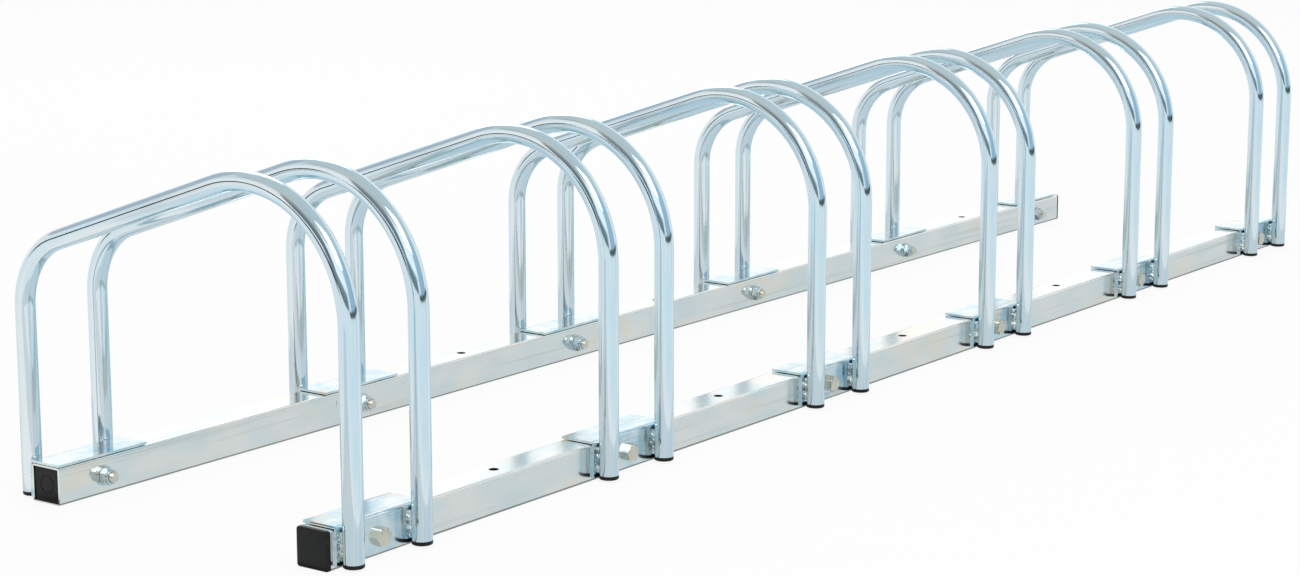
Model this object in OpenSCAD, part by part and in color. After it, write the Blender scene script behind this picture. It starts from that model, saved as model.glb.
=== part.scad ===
// Floor bike rack: two square steel rails on the floor, joined across by pairs of tube hoops.
// A bicycle wheel stands on the floor between the two hoops of a pair.
// X runs along the rails, Y from the near rail to the far rail, Z up from the floor.
// The hoops are tall above the near rail (-Y) and slope down to the far rail (+Y).
// The origin is on the floor under the middle of the rack.

/* [Wheel places] */
// Number of wheel places, each with its own pair of hoops
place_count = 6; // [4:1:8]
// Distance from one wheel place to the next
place_pitch = 300; // [220:1:400]
// Clear gap for the tyre between the two hoops of a pair
wheel_gap = 58; // [35:1:100]

/* [Rails] */
// Side of the square rail tube
rail_w = 30; // [26:0.5:42]
// Wall of the rail tube
rail_wall = 1.5; // [1:0.1:2.4]
// Radius of the rail tube's outer corners
rail_corner_r = 2; // [1:0.1:3]
// Radius of the rail tube's inner corners
rail_inner_r = 0.5; // [0.2:0.1:1]
// Distance over the outer faces of the two rails
rail_span = 314; // [250:1:420]
// Length of the rail past the middle of the first and last wheel place
rail_end_margin = 50; // [48:1:120]
// How much further along X the far rail sits than the near rail
rail_shift = 4; // [0:0.5:10]

/* [Rail splices] */
// Distance from the joint of the two rail lengths to the nearest bolt
splice_from_bolt = 21; // [15:1:40]
// Width of the joint line between the two rail lengths
splice_joint_gap = 1; // [0.5:0.1:3]
// Length of the sleeve inside the joint
sleeve_len = 120; // [90:1:140]
// Wall of the sleeve
sleeve_wall = 1.5; // [1:0.1:3]
// Clearance all round between the sleeve and the rail
sleeve_clearance = 0.1; // [0.05:0.05:0.4]
// Distance from the joint to the crimp that grips the sleeve
crimp_from_joint = 10; // [7:0.5:14]
// Depth of the crimp in the rail's wall
crimp_depth = 0.4; // [0.2:0.1:0.8]
// Radius of the crimping tool's edge
crimp_tool_r = 8; // [4:0.5:12]
// Height of the crimp on the rail's face
crimp_h = 16; // [8:0.5:20]

/* [Hoops] */
// Outer diameter of the hoop tube
tube_d = 16; // [12:0.5:22]
// Wall of the hoop tube
tube_wall = 1.2; // [0.8:0.1:2.4]
// Height of the hoop's crest above the floor
hoop_h = 278; // [220:1:380]
// Bend radius above the near rail, at the tube's axis
near_bend_r = 95; // [50:1:110]
// Bend radius above the far rail, at the tube's axis
far_bend_r = 60; // [40:1:90]
// Angle by which the hoop's bar falls toward the far rail
bar_slope = 19; // [4:0.5:25]
// How much the tube's section draws in at its bends
bend_draw = 0.02; // [0.01:0.01:0.1]

/* [Leg caps] */
// Gap between the cap and the floor, so that the rack rests on its rails
cap_floor_gap = 2; // [1:0.5:6]
// Height of the cap's head below the leg
cap_head_h = 3; // [2:0.5:6]
// Radius of the cap head's lower edge
cap_edge_r = 1; // [0.4:0.1:1.8]
// Length of the cap's stem inside the leg
cap_stem_len = 14; // [8:0.5:24]
// Depth of the stem's ribs
cap_rib_depth = 1.2; // [0.6:0.1:1.8]
// Height of one rib on the stem
cap_rib_h = 1.6; // [0.8:0.1:2]
// Number of ribs on the stem
cap_rib_count = 3; // [2:1:4]
// Clearance between the ribs and the inside of the leg
cap_clearance = 0.1; // [0.05:0.05:0.4]

/* [Brackets] */
// Thickness of the bracket's steel strip
bracket_t = 2; // [1.5:0.1:4]
// Inner radius of the bracket's bend
bracket_bend_r = 1; // [0.6:0.1:2]
// Length of the bracket past the outer side of each leg
bracket_end_margin = 1; // [0.5:0.5:10]
// Gap between the bracket's plate and the floor
bracket_foot_gap = 3; // [1:0.5:6]
// Gap between the bracket's flange and the rail's top
flange_gap = 0.5; // [0.2:0.1:1.5]

/* [Weld beads] */
// Radius of a bead's rounded face
weld_r = 2.6; // [2:0.1:3.2]
// Distance of the bead's middle from the plate
weld_rise = 0.8; // [0.4:0.1:1.2]
// Distance that each bead stops short of the end of its seam
weld_end_inset = 1.5; // [0.5:0.5:6]

/* [Bolts and nuts] */
// Diameter of the bolt
bolt_d = 8; // [6:0.5:10]
// Clearance added to the bolt's diameter in its holes
bolt_hole_clearance = 0.5; // [0.2:0.1:1]
// Width across the flats of the bolt head and nut
hex_af = 13; // [12:0.5:17]
// Height of the bolt head
head_h = 5.3; // [4:0.1:8]
// Height of the nut
nut_h = 6.5; // [5:0.1:9]
// Clearance added to the bolt's diameter in the nut
nut_bore_clearance = 0.1; // [0.05:0.05:0.3]
// Length of bolt that stands out of the nut
bolt_end_proud = 4.9; // [2:0.1:12]
// Size of the bevel on the bolt's end
bolt_end_bevel = 0.8; // [0.4:0.1:1.2]
// Outer diameter of the washer under the nut
washer_d = 16; // [15:0.5:20]
// Thickness of the washer under the nut
washer_t = 1.6; // [1:0.1:2.5]

/* [Floor fixing holes] */
// Diameter of the holes that take floor screws through the rails
fixing_hole_d = 8; // [5:0.5:12]

/* [End plugs] */
// Thickness of a plug's head outside the rail
plug_head_t = 4; // [3:0.5:8]
// Height of the bevel round a plug's head
plug_bevel = 0.8; // [0.4:0.1:1.5]
// Length of the plug inside the rail
plug_stem_len = 16; // [10:0.5:24]
// Wall of the plug's hollow stem
plug_wall = 1.6; // [1:0.1:3]
// Depth of the ribs round the plug's stem
plug_rib_depth = 1; // [0.4:0.1:1.5]
// Width of one rib on the plug's stem
plug_rib_w = 1.5; // [0.8:0.1:2]
// Number of ribs on the plug's stem
plug_rib_count = 3; // [2:1:4]
// Clearance between the plug's ribs and the inside of the rail
plug_clearance = 0.1; // [0.05:0.05:0.4]
// How far the far rail's left plug sits inside the tube
inset_plug_depth = 1; // [0.5:0.5:5]
// Thickness of the face that closes each rail plug's hollow stem
inset_plug_face_t = 2; // [1:0.5:4]
// Diameter of the moulded ring on the inset plug's face
plug_ring_d = 15; // [8:0.5:20]
// Width of the moulded ring's groove
plug_ring_w = 1.2; // [0.6:0.1:2]
// Depth of the moulded ring's groove
plug_ring_depth = 0.4; // [0.2:0.1:0.8]

/* [Hidden] */
$fn = 96;
near = 0;
far = 1;
left = -1;
right = 1;
overrun = 1;
straight_lap = 0.4;
hex_sides = 6;
hex_chamfer_angle = 30;
hex_face_share = 0.95;
weld_x_share = 0.6;

tube_r = tube_d / 2;
leg_offset_x = (wheel_gap + tube_d) / 2;
plate_outer_y = rail_span / 2 + bracket_t;
leg_y = plate_outer_y + tube_r;
leg_foot_z = cap_floor_gap + cap_head_h;

rail_len = (place_count - 1) * place_pitch + 2 * rail_end_margin;
rail_inner_y = rail_span / 2 - rail_w;
rail_bore_w = rail_w - 2 * rail_wall;
bolt_z = rail_w / 2;
bolt_hole_d = bolt_d + bolt_hole_clearance;
bolt_len = bracket_t + rail_w + washer_t + nut_h + bolt_end_proud;

bracket_len = wheel_gap + 2 * tube_d + 2 * bracket_end_margin;
bracket_top_z = rail_w + flange_gap + bracket_t;
bracket_outer_bend_r = bracket_bend_r + bracket_t;

weld_x = weld_x_share * tube_r;
weld_bottom_z = max(leg_foot_z, bracket_foot_gap) + weld_end_inset;
weld_top_z = bracket_top_z - bracket_outer_bend_r - weld_end_inset;

// Both ends of the hoop's bar, where it leaves its two bends, as [Y, Z]
near_bend_z = hoop_h - (tube_r - bend_draw) - near_bend_r;
bar_start = [
    -leg_y + near_bend_r * (1 + sin(bar_slope)),
    near_bend_z + near_bend_r * cos(bar_slope)
];
bar_end_y = leg_y - far_bend_r * (1 - sin(bar_slope));
bar_len = (bar_end_y - bar_start.x) / cos(bar_slope);
far_bend_z = bar_start.y - bar_len * sin(bar_slope) - far_bend_r * cos(bar_slope);

// X of the middle of wheel place i, counted from 1
function place_x(i) = (i - (place_count + 1) / 2) * place_pitch - rail_shift / 2;

// X of the middle of a rail
function rail_x(side) = (side == far ? 1 : -1) * rail_shift / 2;

// X of the joint in a rail: before the second bolt on the far rail, after the last but one
// on the near rail
function joint_x(side) = side == far
    ? place_x(2) - splice_from_bolt
    : place_x(place_count - 1) + splice_from_bolt;

// Gaps between wheel places that have a fixing hole, by the place on their left
function fixing_gaps(side) = side == far
    ? [2 : place_count - 1]
    : [1 : place_count - 2];

// Puts the far rail's copy of a near-side piece across the rack
module on_side(side) {
    mirror([0, side, 0]) children();
}

// Turns a shape drawn in X and Y so that X becomes Y, Y becomes Z and its height runs along X
module across() {
    rotate([90, 0, 90]) children();
}

// Square of side w about the origin with round corners, drawn flat
module round_square(w, r) {
    square([w - 2 * r, w], center = true);
    square([w, w - 2 * r], center = true);
    for (x = [-1, 1], y = [-1, 1])
        translate([x * (w / 2 - r), y * (w / 2 - r)]) circle(r);
}

// Hollow square tube along X on the near rail's axis
module rail_tube(x0, x1, w, r, wall, inner_r) {
    translate([x0, -rail_span / 2 + rail_w / 2, rail_w / 2])
        across() linear_extrude(x1 - x0) difference() {
            round_square(w, r);
            round_square(w - 2 * wall, inner_r);
        }
}

// Bores for the bolts, straight through a near-side rail
module bolt_bores() {
    for (i = [1 : place_count])
        translate([place_x(i), -rail_span / 2 - overrun, bolt_z])
            rotate([-90, 0, 0]) cylinder(h = rail_w + 2 * overrun, d = bolt_hole_d);
}

// Bores for the floor screws, straight down through a near-side rail
module fixing_bores(side) {
    for (i = fixing_gaps(side))
        translate([place_x(i) + place_pitch / 2, -rail_span / 2 + rail_w / 2, -overrun])
            cylinder(h = rail_w + 2 * overrun, d = fixing_hole_d);
}

// Shallow upright grooves pressed into both sides of the rail beside the joint
module crimps(side) {
    x = joint_x(side) + (side == far ? -crimp_from_joint : crimp_from_joint);
    for (y = [-rail_span / 2 - crimp_tool_r + crimp_depth, -rail_inner_y + crimp_tool_r - crimp_depth])
        translate([x, y, rail_w / 2 - crimp_h / 2])
            cylinder(h = crimp_h, r = crimp_tool_r);
}

// One length of a rail, from the joint to the left or right end
module rail(side, end) {
    end_x = rail_x(side) + end * rail_len / 2;
    joint_edge_x = joint_x(side) + end * splice_joint_gap / 2;
    color("#a9b2b1") on_side(side) difference() {
        rail_tube(
            min(end_x, joint_edge_x), max(end_x, joint_edge_x),
            rail_w, rail_corner_r, rail_wall, rail_inner_r
        );
        bolt_bores();
        fixing_bores(side);
        crimps(side);
    }
}

// Sleeve inside a rail that carries the two lengths across their joint
module rail_splice(side) {
    x = joint_x(side);
    w = rail_bore_w - 2 * sleeve_clearance;
    color("#8f9896") on_side(side) difference() {
        rail_tube(
            x - sleeve_len / 2, x + sleeve_len / 2,
            w, rail_corner_r, sleeve_wall, rail_inner_r
        );
        bolt_bores();
    }
}

// Ring section of the hoop tube, its wall drawn in by the given amount
module tube_section(draw) {
    difference() {
        circle(tube_r - draw);
        circle(tube_r - tube_wall + draw);
    }
}

// Straight length of hoop tube along Z that laps into a bend at its far end,
// and at its near end too if it starts at a bend
module straight_tube(len, from_bend) {
    start_lap = from_bend ? straight_lap : 0;
    translate([0, 0, -start_lap])
        linear_extrude(len + start_lap + straight_lap) tube_section(0);
}

// Bend of hoop tube about the origin, from the given angle on, counter-clockwise
module bent_tube(bend_r, start_angle, angle) {
    rotate([0, 0, start_angle])
        rotate_extrude(angle = angle) translate([bend_r, 0]) tube_section(bend_draw);
}

// One hoop: near leg, tall bend, falling bar, far bend and far leg
module hoop(i, end) {
    color("#c9d6de") translate([place_x(i) + end * leg_offset_x, 0, 0]) across() {
        translate([-leg_y, leg_foot_z])
            rotate([-90, 0, 0]) straight_tube(near_bend_z - leg_foot_z, false);
        translate([-leg_y + near_bend_r, near_bend_z])
            bent_tube(near_bend_r, 90 - bar_slope, 90 + bar_slope);
        translate(bar_start)
            rotate([0, 90, -bar_slope]) straight_tube(bar_len, true);
        translate([leg_y - far_bend_r, far_bend_z])
            bent_tube(far_bend_r, 0, 90 - bar_slope);
        translate([leg_y, leg_foot_z])
            rotate([-90, 0, 0]) straight_tube(far_bend_z - leg_foot_z, false);
    }
}

// Section of a bracket: plate against the rail's outer face, flange over its top.
// Drawn with the rail's lower outer corner at the origin and the rail toward +X
module bracket_section() {
    bend_x = bracket_outer_bend_r - bracket_t;
    bend_y = bracket_top_z - bracket_outer_bend_r;
    translate([-bracket_t, bracket_foot_gap])
        square([bracket_t, bend_y - bracket_foot_gap]);
    translate([bend_x, bracket_top_z - bracket_t])
        square([rail_w - bend_x, bracket_t]);
    translate([bend_x, bend_y]) intersection() {
        difference() {
            circle(bracket_outer_bend_r);
            circle(bracket_bend_r);
        }
        translate([-bracket_outer_bend_r, 0]) square(bracket_outer_bend_r);
    }
}

// Bent steel bracket that carries both legs of a pair on one rail
module bracket(side, i) {
    color("#bfcbd0") on_side(side) difference() {
        translate([place_x(i) - bracket_len / 2, -rail_span / 2, 0])
            across() linear_extrude(bracket_len) bracket_section();
        translate([place_x(i), -plate_outer_y - overrun, bolt_z])
            rotate([-90, 0, 0]) cylinder(h = bracket_t + 2 * overrun, d = bolt_hole_d);
    }
}

// Upright weld beads in the corners between the legs and the plates
module weld_beads(side) {
    color("#9aa0a0") on_side(side)
        for (i = [1 : place_count], end = [left, right], seam = [-1, 1])
            translate([place_x(i) + end * leg_offset_x, -plate_outer_y, weld_bottom_z])
                linear_extrude(weld_top_z - weld_bottom_z) difference() {
                    translate([seam * weld_x, -weld_rise]) circle(weld_r);
                    translate([0, -tube_r]) circle(tube_r);
                    translate([-tube_d, 0]) square([2 * tube_d, tube_d]);
                }
}

// Black cap in the foot of a leg, standing on its head at the origin
module leg_cap() {
    rib_step = cap_stem_len / cap_rib_count;
    rib_r = tube_r - tube_wall - cap_clearance;
    rotate_extrude() {
        square([tube_r - cap_edge_r, cap_head_h]);
        translate([0, cap_edge_r]) square([tube_r, cap_head_h - cap_edge_r]);
        intersection() {
            translate([tube_r - cap_edge_r, cap_edge_r]) circle(cap_edge_r);
            square([tube_r, cap_head_h]);
        }
        square([rib_r - cap_rib_depth, cap_head_h + cap_stem_len]);
        for (i = [1 : cap_rib_count])
            translate([0, cap_head_h + i * rib_step - cap_rib_h])
                square([rib_r, cap_rib_h]);
    }
}

// The caps of all legs on one side
module leg_caps(side) {
    color("#171514") on_side(side)
        for (i = [1 : place_count], end = [left, right])
            translate([place_x(i) + end * leg_offset_x, -leg_y, cap_floor_gap]) leg_cap();
}

// Ribbed hollow stem of a rail plug, from x = 0 to the stem's length
module plug_stem() {
    rib_w = rail_bore_w - 2 * plug_clearance;
    core_w = rib_w - 2 * plug_rib_depth;
    rib_step = plug_stem_len / plug_rib_count;
    across() difference() {
        union() {
            linear_extrude(plug_stem_len) round_square(core_w, rail_corner_r);
            for (i = [1 : plug_rib_count])
                translate([0, 0, i * rib_step - plug_rib_w])
                    linear_extrude(plug_rib_w) round_square(rib_w, rail_corner_r);
        }
        translate([0, 0, inset_plug_face_t])
            linear_extrude(plug_stem_len) round_square(core_w - 2 * plug_wall, rail_inner_r);
    }
}

// Rail plug with a square head outside the tube, its stem toward +X from the origin
module headed_plug() {
    plug_stem();
    translate([plug_bevel - plug_head_t, 0, 0])
        across() linear_extrude(plug_head_t - plug_bevel) round_square(rail_w, rail_corner_r);
    translate([-plug_head_t, 0, 0])
        across() linear_extrude(plug_bevel) round_square(rail_w - 2 * plug_bevel, rail_corner_r);
}

// Rail plug without a head, its face at the origin and its stem toward +X
module inset_plug() {
    face_w = rail_bore_w - 2 * plug_clearance;
    difference() {
        union() {
            plug_stem();
            across() linear_extrude(inset_plug_face_t) round_square(face_w, rail_corner_r);
        }
        translate([-overrun, 0, 0]) across() linear_extrude(overrun + plug_ring_depth) difference() {
            circle(d = plug_ring_d);
            circle(d = plug_ring_d - 2 * plug_ring_w);
        }
    }
}

// Sets a plug drawn with its stem toward +X into the left or right end of a rail
module at_rail_end(side, end, depth) {
    on_side(side)
        translate([rail_x(side) + end * (rail_len / 2 - depth), -rail_span / 2 + rail_w / 2, rail_w / 2])
            mirror([end == right ? 1 : 0, 0, 0]) children();
}

// Plug with a head in one end of a rail
module end_plug(side, end) {
    color("#171514") at_rail_end(side, end, 0) headed_plug();
}

// Plug in the far rail's left end, pushed inside the tube
module far_left_end_plug() {
    color("#171514") at_rail_end(far, left, inset_plug_depth) inset_plug();
}

// Hexagonal prism from z = 0 to h with a chamfered top edge
module chamfered_hex(h) {
    face_r = hex_face_share * hex_af / 2;
    intersection() {
        cylinder(h = h, d = hex_af / cos(180 / hex_sides), $fn = hex_sides);
        cylinder(h = h, r1 = face_r + h / tan(hex_chamfer_angle), r2 = face_r);
    }
}

// Hexagon bolt with its shank along +Z and its head below the origin
module bolt() {
    mirror([0, 0, 1]) chamfered_hex(head_h);
    cylinder(h = bolt_len - bolt_end_bevel, d = bolt_d);
    translate([0, 0, bolt_len - bolt_end_bevel])
        cylinder(h = bolt_end_bevel, d1 = bolt_d, d2 = bolt_d - 2 * bolt_end_bevel);
}

// Hexagon nut from the origin up
module nut() {
    difference() {
        chamfered_hex(nut_h);
        translate([0, 0, -overrun])
            cylinder(h = nut_h + 2 * overrun, d = bolt_d + nut_bore_clearance);
    }
}

// Flat washer from the origin up
module washer() {
    difference() {
        cylinder(h = washer_t, d = washer_d);
        translate([0, 0, -overrun])
            cylinder(h = washer_t + 2 * overrun, d = bolt_hole_d);
    }
}

// Copies a fastener, drawn along +Z, to each bolt of one side at the given place across it
module at_bolts(side, y) {
    on_side(side)
        for (i = [1 : place_count])
            translate([place_x(i), y, bolt_z]) rotate([-90, 0, 0]) children();
}

// Bolts of one side, heads against the plates
module bolts(side) {
    color("#b9b6a8") at_bolts(side, -plate_outer_y) bolt();
}

// Washers of one side, against the rail's inner face
module nut_washers(side) {
    color("#b4b9b6") at_bolts(side, -rail_inner_y) washer();
}

// Nuts of one side, on the washers
module nuts(side) {
    color("#aeb4b2") at_bolts(side, -rail_inner_y + washer_t) nut();
}

rail(near, left);  // near_rail_left
rail(near, right);  // near_rail_right
rail(far, left);  // far_rail_left
rail(far, right);  // far_rail_right
rail_splice(near);  // near_rail_splice
rail_splice(far);  // far_rail_splice
for (i = [1 : place_count]) {
    hoop(i, left);
    hoop(i, right);
    bracket(near, i);
    bracket(far, i);
}
weld_beads(near);  // near_weld_beads
weld_beads(far);  // far_weld_beads
leg_caps(near);  // near_leg_caps
leg_caps(far);  // far_leg_caps
end_plug(near, left);  // near_left_end_plug
end_plug(near, right);  // near_right_end_plug
far_left_end_plug();
end_plug(far, right);  // far_right_end_plug
bolts(near);  // near_bolts
bolts(far);  // far_bolts
nuts(near);  // near_nuts
nuts(far);  // far_nuts
nut_washers(near);  // near_nut_washers
nut_washers(far);  // far_nut_washers
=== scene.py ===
"""Floor bike rack: two square steel rails joined across by twelve bent tube hoops.

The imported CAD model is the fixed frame. Rails, brackets and sleeves stay as they are and get
their finish here. The hoops, weld beads, caps, plugs and fasteners are built as finer surfaces
in the places of their CAD nodes.
"""

import logging
import math
from collections.abc import Sequence
from dataclasses import dataclass, replace
from enum import Enum

import bpy
import numpy as np
from mathutils import Matrix, Vector


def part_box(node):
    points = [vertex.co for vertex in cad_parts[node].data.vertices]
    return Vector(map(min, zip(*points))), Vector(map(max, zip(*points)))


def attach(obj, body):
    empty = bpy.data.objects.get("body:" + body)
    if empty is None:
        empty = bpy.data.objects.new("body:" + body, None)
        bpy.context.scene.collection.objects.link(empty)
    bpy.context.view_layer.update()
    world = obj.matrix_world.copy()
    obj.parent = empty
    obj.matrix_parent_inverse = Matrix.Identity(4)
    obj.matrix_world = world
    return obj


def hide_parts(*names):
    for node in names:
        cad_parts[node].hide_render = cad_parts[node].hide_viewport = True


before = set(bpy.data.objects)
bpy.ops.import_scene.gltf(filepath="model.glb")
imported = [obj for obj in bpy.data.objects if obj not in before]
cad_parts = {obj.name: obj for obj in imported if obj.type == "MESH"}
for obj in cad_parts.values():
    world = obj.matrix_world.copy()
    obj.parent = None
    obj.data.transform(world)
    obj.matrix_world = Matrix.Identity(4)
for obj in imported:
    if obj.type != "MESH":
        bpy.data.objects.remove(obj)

log = logging.getLogger("bike_rack")

MM = 0.001
BODY = "root"
UV_NAME = "surface"

# Columns round a turned piece, and points on a quarter circle of a moulded edge
ROUND_COLUMNS = 48
QUARTER_POINTS = 9

# Octaves of finer variation in a noise pattern that names none
USUAL_OCTAVES = 3.0

X_AXIS = np.array([1.0, 0.0, 0.0])
Y_AXIS = np.array([0.0, 1.0, 0.0])
Z_AXIS = np.array([0.0, 0.0, 1.0])
EVEN = (1.0, 1.0, 1.0)
WHITE = (1.0, 1.0, 1.0, 1.0)
FULL_BAND = (0.0, 1.0)

Span = tuple[float, float]
Triple = tuple[float, float, float]


class Way(Enum):
    """A choice between two sides of the origin, by sign."""

    @property
    def label(self) -> str:
        """Name of the side, as the nodes and pieces have it."""
        return self.name.lower()


class Side(Way):
    """The two rails, by the sign of their Y."""

    NEAR = -1.0
    FAR = 1.0


class End(Way):
    """The two ends of a rail, the two hoops of a pair or the two sides of a leg, by the sign of X."""

    LEFT = -1.0
    RIGHT = 1.0


# Surfaces


@dataclass
class Patch:
    """One closed surface worked out on a grid.

    Rows run along the surface and columns round it. Every row is a closed ring. The rows
    either close on themselves, as on a torus, or end in a pole at both ends.
    """

    points: np.ndarray
    along: np.ndarray
    around: np.ndarray
    rows_close: bool = False

    def arrays(self) -> tuple[np.ndarray, np.ndarray, np.ndarray, np.ndarray]:
        """Works out the patch's vertices and faces as whole arrays.

        Returns:
            Vertices, the corner indices of all faces in a row, the number of corners of each
            face, and one UV pair for each corner. Faces point outwards.
        """
        rows, columns = self.points.shape[:2]
        vertices = self.points.reshape(-1, 3)
        last = rows if self.rows_close else rows - 1
        row, col = np.meshgrid(np.arange(last), np.arange(columns), indexing="ij")
        here, there = row * columns, (row + 1) % rows * columns
        turn = (col + 1) % columns
        quads = np.stack([here + col, here + turn, there + turn, there + col], -1)
        left, right = self.around[col], self.around[col + 1]
        low, high = self.along[row], self.along[row + 1]
        u, v = np.stack([left, right, right, left], -1), np.stack([low, low, high, high], -1)
        corners = [quads.reshape(-1)]
        sizes = [np.full(quads.shape[0] * quads.shape[1], 4)]
        uvs = [np.stack([u, v], -1).reshape(-1, 2)]
        if not self.rows_close:
            poles = np.stack([self.points[0].mean(0), self.points[-1].mean(0)])
            vertices = np.concatenate([vertices, poles])
            ring = np.arange(columns)
            after = (ring + 1) % columns
            top = (rows - 1) * columns
            first = np.stack([np.full(columns, rows * columns), after, ring], -1)
            final = np.stack([np.full(columns, rows * columns + 1), top + ring, top + after], -1)
            corners += [first.reshape(-1), final.reshape(-1)]
            sizes.append(np.full(2 * columns, 3))
            for edge in (self.along[0], self.along[rows - 1]):
                fan = np.stack([self.around[ring], self.around[ring], self.around[ring + 1]], -1)
                uvs.append(np.stack([fan, np.full_like(fan, edge)], -1).reshape(-1, 2))
        loops, counts, uv = np.concatenate(corners), np.concatenate(sizes), np.concatenate(uvs)
        if enclosed_volume(vertices, loops, counts) < 0:
            loops, uv = turned_over(loops, uv, counts)
        return vertices, loops, counts, uv


def enclosed_volume(vertices: np.ndarray, loops: np.ndarray, counts: np.ndarray) -> float:
    """Adds up the signed volumes of the tetrahedra from the origin to each face's triangles.

    Args:
        vertices: Points of the mesh.
        loops: Corner indices of all faces in a row.
        counts: Number of corners of each face, three or four.

    Returns:
        The volume, negative where the faces point inwards.
    """
    start = np.cumsum(counts) - counts
    a, b, c = (vertices[loops[start + k]] for k in range(3))
    total = np.einsum("ij,ij->", a, np.cross(b, c))
    four = start[counts == 4]
    a, b, c = (vertices[loops[four + k]] for k in (0, 2, 3))
    return float(total + np.einsum("ij,ij->", a, np.cross(b, c))) / 6


def turned_over(
    loops: np.ndarray, uv: np.ndarray, counts: np.ndarray
) -> tuple[np.ndarray, np.ndarray]:
    """Reverses the order of every face's corners, which turns the surface inside out.

    Args:
        loops: Corner indices of all faces in a row.
        uv: One UV pair for each corner.
        counts: Number of corners of each face.

    Returns:
        The corner indices and the UV pairs in their new order.
    """
    start = np.repeat(np.cumsum(counts) - counts, counts)
    size = np.repeat(counts, counts)
    place = np.arange(len(loops)) - start
    order = start + size - 1 - place
    return loops[order], uv[order]


def make_piece(name: str, patches: Sequence[Patch], sharp_deg: float = 32.0) -> bpy.types.Object:
    """Puts closed patches into one mesh object at the origin.

    Args:
        name: Name of the piece.
        patches: The closed surfaces that it is made of.
        sharp_deg: Edges with a greater angle than this are shaded as edges.

    Returns:
        The new object, linked to the scene.
    """
    parts = [patch.arrays() for patch in patches]
    lengths = [len(vertices) for vertices, *_ in parts]
    bases = np.cumsum([0, *lengths[:-1]])
    vertices = np.concatenate([part[0] for part in parts])
    loops = np.concatenate([part[1] + base for part, base in zip(parts, bases)])
    counts = np.concatenate([part[2] for part in parts])
    uvs = np.concatenate([part[3] for part in parts])
    mesh = bpy.data.meshes.new(name)
    mesh.vertices.add(len(vertices))
    mesh.vertices.foreach_set("co", vertices.astype(np.float32).ravel())
    mesh.loops.add(len(loops))
    mesh.loops.foreach_set("vertex_index", loops.astype(np.int32))
    mesh.polygons.add(len(counts))
    mesh.polygons.foreach_set("loop_start", (np.cumsum(counts) - counts).astype(np.int32))
    mesh.update(calc_edges=True)
    layer = mesh.uv_layers.new(name=UV_NAME)
    layer.uv.foreach_set("vector", uvs.astype(np.float32).ravel())
    mesh.validate()
    mesh.shade_smooth()
    mesh.set_sharp_from_angle(angle=math.radians(sharp_deg))
    piece = bpy.data.objects.new(name, mesh)
    bpy.context.scene.collection.objects.link(piece)
    return piece


def ring_angles(columns: int) -> np.ndarray:
    """Angles of the columns round a ring: even shares of a full turn."""
    return 2 * math.pi * np.arange(columns) / columns


def quarter_turn(points: int = QUARTER_POINTS) -> np.ndarray:
    """Angles from zero to a quarter turn, in even steps."""
    return np.linspace(0, math.pi / 2, points)


def swept(
    centres: np.ndarray,
    first: np.ndarray,
    second: np.ndarray,
    sections: np.ndarray,
    rows_close: bool = False,
) -> Patch:
    """Carries a closed section along a path.

    A point is the path's point plus the section's first coordinate along one cross direction
    plus its second coordinate along the other.

    Args:
        centres: Path points, one for each row.
        first: First cross direction at each path point.
        second: Second cross direction at each path point.
        sections: Section points at each path point, rows by columns by two.
        rows_close: True where the last row joins the first.

    Returns:
        The patch, with lengths in metres as its UV.
    """
    points = (
        centres[:, None, :]
        + sections[..., :1] * first[:, None, :]
        + sections[..., 1:] * second[:, None, :]
    )
    steps = np.linalg.norm(np.diff(centres, axis=0, append=centres[:1]), axis=1)
    along = np.concatenate([[0.0], np.cumsum(steps)])
    widest = sections[np.argmax(np.abs(sections).sum((1, 2)))]
    edges = np.linalg.norm(np.diff(widest, axis=0, append=widest[:1]), axis=1)
    around = np.concatenate([[0.0], np.cumsum(edges)])
    return Patch(points, along, around, rows_close)


def turned_profile(
    radii: np.ndarray, heights: np.ndarray, base: Vector, axis: Vector, rows_close: bool = False
) -> Patch:
    """Turns a profile round an axis: the radius may change with the angle as well.

    Args:
        radii: Radius for each row and each column, or for each row alone.
        heights: Distance of each row from the base along the axis.
        base: Point on the axis from which heights are counted.
        axis: Direction of the axis, of length one.
        rows_close: True where the last row joins the first.

    Returns:
        The patch.
    """
    if radii.ndim == 1:
        radii = np.repeat(radii[:, None], ROUND_COLUMNS, axis=1)
    angle = ring_angles(radii.shape[1])
    upright = Vector(Z_AXIS) if abs(axis.z) < 0.5 else Vector(X_AXIS)
    across = upright.cross(axis).normalized()
    sections = np.stack([radii * np.cos(angle), radii * np.sin(angle)], -1)
    centres = np.array(base)[None, :] + np.asarray(heights)[:, None] * np.array(axis)[None, :]
    rows = len(centres)
    first = np.tile(np.array(across), (rows, 1))
    second = np.tile(np.array(axis.cross(across)), (rows, 1))
    return swept(centres, first, second, sections, rows_close)


def hexagon(flats: float, columns: int, turn: float, softness: float) -> np.ndarray:
    """Radius of a hexagon at each column's angle.

    It is half the flats over the cosine of the angle from the nearest flat's middle, held
    below a limit so that the corners are soft.

    Args:
        flats: Width across the flats.
        columns: Number of columns round the axis.
        turn: Angle by which the hexagon is turned.
        softness: Share of the corner's height that is rounded away.

    Returns:
        One radius for each column.
    """
    angle = ring_angles(columns) + turn
    from_flat = (angle + math.pi / 6) % (math.pi / 3) - math.pi / 6
    corner = flats / 2 / math.cos(math.pi / 6)
    return np.minimum(flats / 2 / np.cos(from_flat), corner - softness * (corner - flats / 2))


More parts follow.
